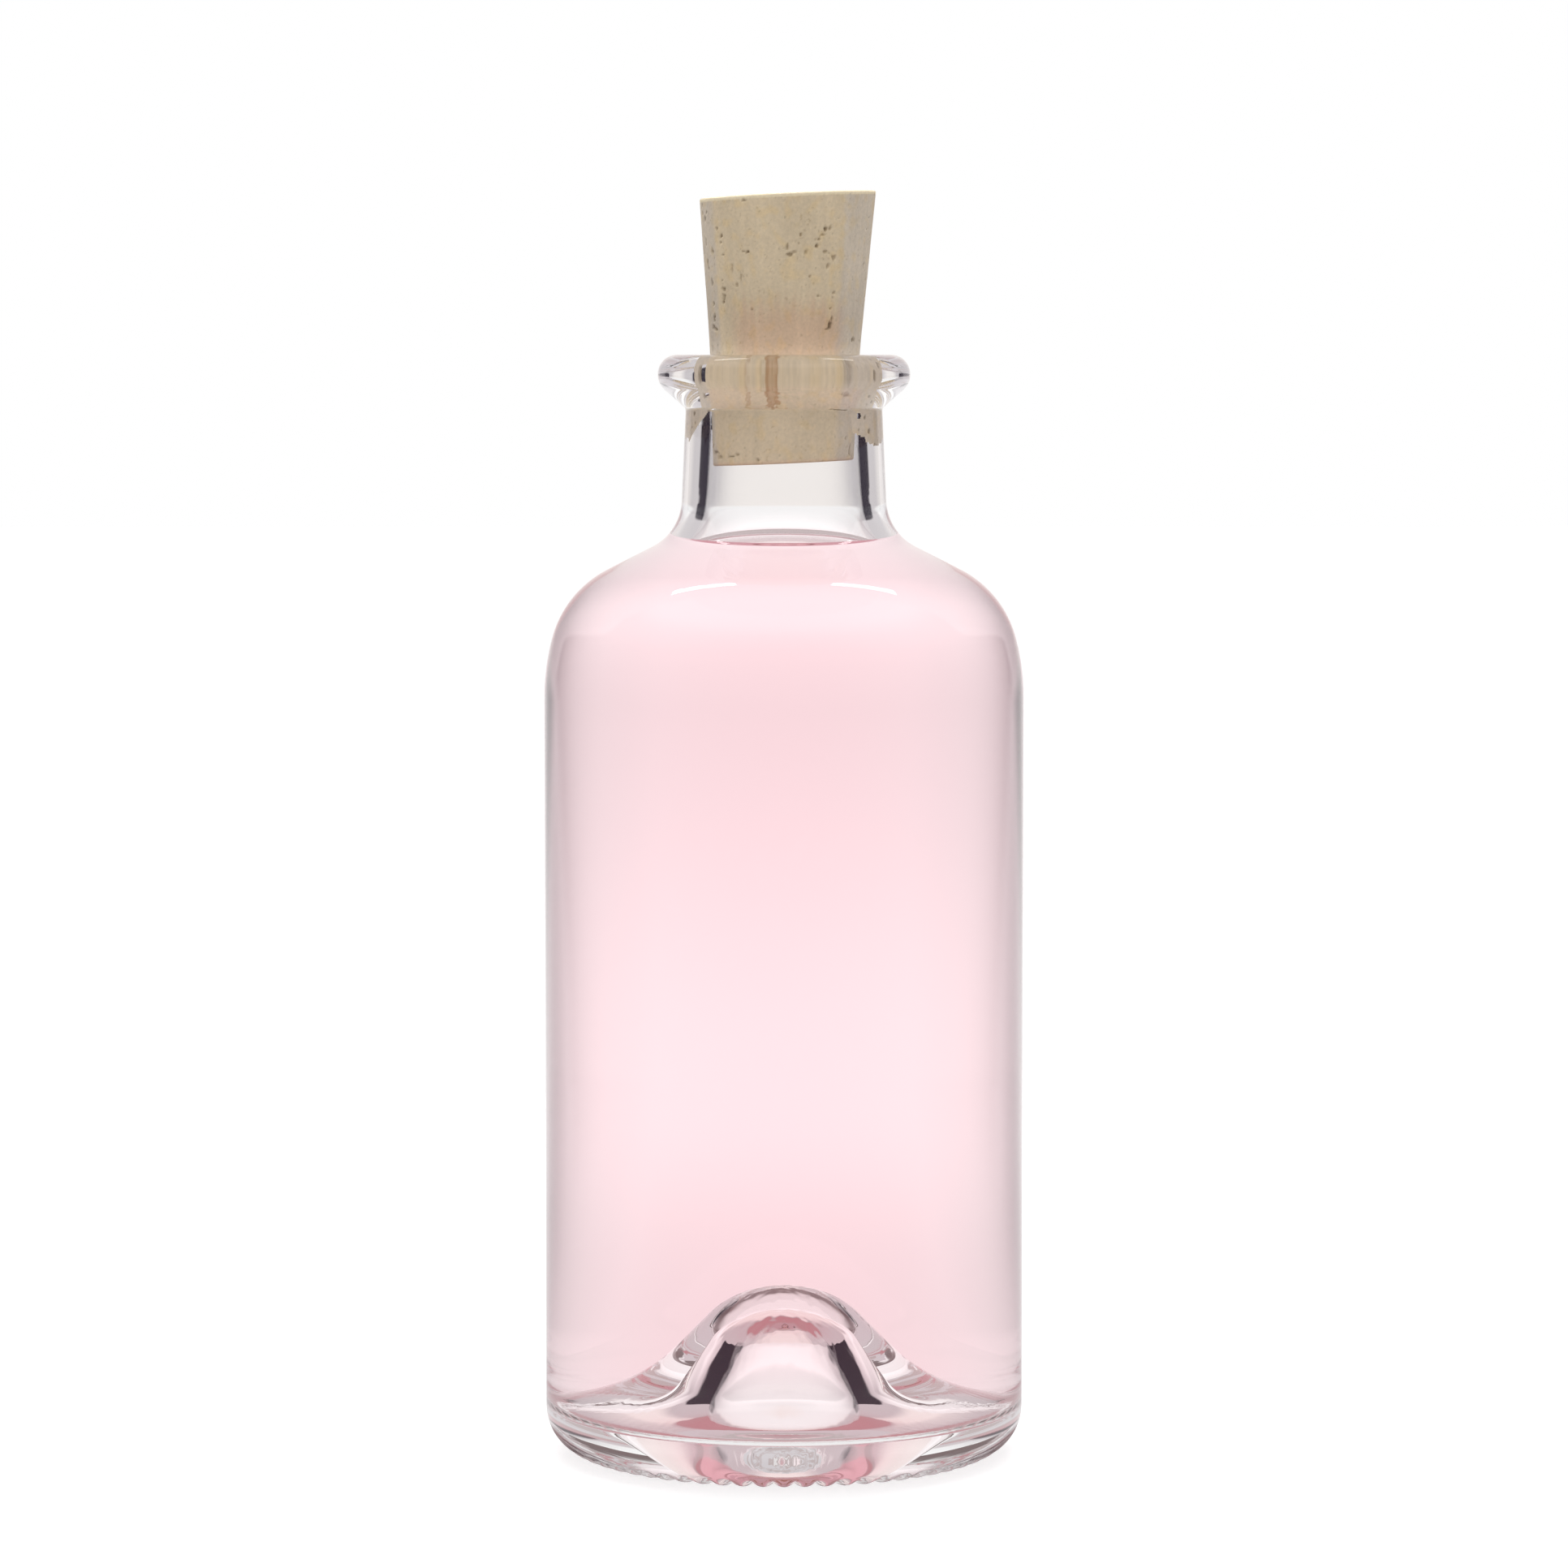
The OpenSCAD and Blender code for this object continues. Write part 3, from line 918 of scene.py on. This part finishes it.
def cove_light(way, r, z):
    """Colour of the cove at an angle in degrees from the back, a radius and a height. The white
    back turns pale from start to end, and dark round the edge's angle."""
    high = 0
    start, end, edge, soft = 22, 52, 62, 6
    if r < COVE_R:
        back = mixed(1.0, 1.2, smooth(r, 0.08, 0.36))
        dark = blended(PALE, DARK, smooth(r, 0.2, 0.38))
        front = blended(FRONT_BELOW, FRONT, smooth(r, 0.08, 0.2))
        fall = mixed(1, 0.75, smooth(r, 0.15, 0.3))
    else:
        high = smooth(z, *NECK_SEES)
        start, end, soft = mixed(22, 8, high), mixed(52, 28, high), mixed(6, 2, high)
        edge = mixed(mixed(60, 42, smooth(z, 0.0, 0.11)), 78, smooth(z, 0.15, 0.28))
        back = mixed(mixed(1.2, 1.02, smooth(z, 0.0, 0.085)), 0.95, high)
        above = smooth(z, 0.35, 0.6)
        dark, front = blended(DARK, ABOVE, above), blended(FRONT, ABOVE, above)
        fall = mixed(0.6, 0.4, smooth(z, 0.04, 0.085)) * (1 - smooth(z, 0.085, 0.11))
    white = blended((back, back, back), scaled(WARM_WHITE, back), high)
    pale = blended(white, blended(PALE, PALE_HIGH, high), smooth(way, start, end))
    dark = blended(dark, front, smooth(way, 100, 130))
    light = blended(pale, dark, smooth(way, edge - soft, edge + soft))
    light = scaled(light, mixed(1, read_off(SIDE_FALL, way), fall))
    return blended(UNDER, light, smooth(r, COVE_IN, COVE_NEAR))


def cove():
    wide, tall = COVE_R - COVE_IN, COVE_TOP - COVE_BOTTOM
    line = [(COVE_IN + wide * i / BOTTOM_STEPS, COVE_BOTTOM) for i in range(BOTTOM_STEPS)]
    for i in range(WALL_STEPS + 1):
        line.append((COVE_R, COVE_BOTTOM + tall * (i / WALL_STEPS) ** 1.5))
    verts, faces, lights = [], [], []
    for k in range(COVE_TURNS):
        way = 2 * math.pi * k / COVE_TURNS
        for r, z in line:
            verts.append((r * math.sin(way), r * math.cos(way), z))
            lights += (*cove_light(min(k, COVE_TURNS - k) * 360 / COVE_TURNS, r, z), 1)
    n = len(line)
    for k in range(COVE_TURNS):
        for i in range(n - 1):
            a, b = k * n + i, (k + 1) % COVE_TURNS * n + i
            faces.append((a, a + 1, b + 1, b))
    mesh = bpy.data.meshes.new("studio_cove")
    mesh.from_pydata(verts, [], faces)
    mesh.attributes.new("light", "FLOAT_COLOR", "POINT").data.foreach_set("color", lights)
    return new_object("studio_cove", mesh)


def cove_material():
    """Glows in the light of its points. Light that has met a matt face sees it plain, so that the
    cove lights the cork evenly."""
    mat = bpy.data.materials.new("cove_cloth")
    mat.use_nodes = True
    tree = mat.node_tree
    tree.nodes.clear()
    output = node(tree, "ShaderNodeOutputMaterial")
    glow = node(tree, "ShaderNodeEmission")
    light = node(tree, "ShaderNodeAttribute", attribute_name="light")
    path = node(tree, "ShaderNodeLightPath")
    plain = node(tree, "ShaderNodeMix", data_type="RGBA")
    matt = joined(tree, "MINIMUM", path.outputs["Diffuse Depth"], 1)
    tree.links.new(matt, plain.inputs["Factor"])
    tree.links.new(light.outputs["Color"], plain.inputs[6])
    plain.inputs[7].default_value = PLAIN
    tree.links.new(plain.outputs[2], glow.inputs["Color"])
    tree.links.new(glow.outputs[0], output.inputs["Surface"])
    return mat


surround = cove()
surround.data.materials.append(cove_material())
surround.visible_camera = False
surround.visible_diffuse = False
surround.visible_shadow = False
# It goes with the camera, so that it stands behind the bottle in every view
bpy.context.view_layer.update()
surround.parent = camera
surround.matrix_parent_inverse = camera.matrix_world.inverted()

# Floor

FLOOR = 4.0
FLOOR_TONE = (0.32, 0.32, 0.32, 1)
FLOOR_LIFT = 0.76
FLOOR_SEEN = (0.9, 0.9, 0.9, 1)
# The painted shadow under the heel, and the radii over which it comes in and fades out
PAINTED_HEEL_SHADOW = (0.2, 0.155, 0.155, 1)
SHADE_FROM = (0.0235, 0.0265)
SHADE_TO = (0.033, 0.038)
THROUGH_R = 0.04


def floor_sheet():
    mesh = bpy.data.meshes.new("floor")
    corners = [(-FLOOR, -FLOOR, 0), (FLOOR, -FLOOR, 0), (FLOOR, FLOOR, 0), (-FLOOR, FLOOR, 0)]
    mesh.from_pydata(corners, [], [(0, 1, 2, 3)])
    return new_object("floor", mesh)


def floor_material():
    """Pale for the camera. Glass and gloss see a painted shadow under the heel and, past the cove's
    inner edge, the cove through the floor, where it dips below."""
    mat, tree, shader = material("pale_floor")
    shader.inputs["Base Color"].default_value = FLOOR_TONE
    shader.inputs["Roughness"].default_value = 0.9
    path = node(tree, "ShaderNodeLightPath")
    lift = joined(tree, "MULTIPLY", path.outputs["Is Camera Ray"], FLOOR_LIFT)
    shader.inputs["Emission Color"].default_value = (1, 1, 1, 1)
    tree.links.new(lift, shader.inputs["Emission Strength"])
    pale = node(tree, "ShaderNodeEmission")
    coords = node(tree, "ShaderNodeTexCoord")
    length = node(tree, "ShaderNodeVectorMath", operation="LENGTH")
    tree.links.new(coords.outputs["Object"], length.inputs[0])
    away = length.outputs["Value"]
    within, past = ranged(tree, away, *SHADE_FROM, 0, 1), ranged(tree, away, *SHADE_TO, 1, 0)
    shade = node(tree, "ShaderNodeMix", data_type="RGBA")
    tree.links.new(joined(tree, "MULTIPLY", within, past), shade.inputs["Factor"])
    shade.inputs[6].default_value = FLOOR_SEEN
    shade.inputs[7].default_value = PAINTED_HEEL_SHADOW
    tree.links.new(shade.outputs[2], pale.inputs["Color"])
    beyond = joined(tree, "GREATER_THAN", away, THROUGH_R)
    unseen = node(tree, "ShaderNodeBsdfTransparent")
    for_glass = either(tree, beyond, pale.outputs[0], unseen.outputs[0])
    gloss, glass_ray = path.outputs["Is Glossy Ray"], path.outputs["Is Transmission Ray"]
    glassy = joined(tree, "MAXIMUM", gloss, glass_ray)
    surface = either(tree, glassy, shader.outputs[0], for_glass)
    tree.links.new(surface, tree.nodes["Material Output"].inputs["Surface"])
    return mat


floor = floor_sheet()
floor.data.materials.append(floor_material())
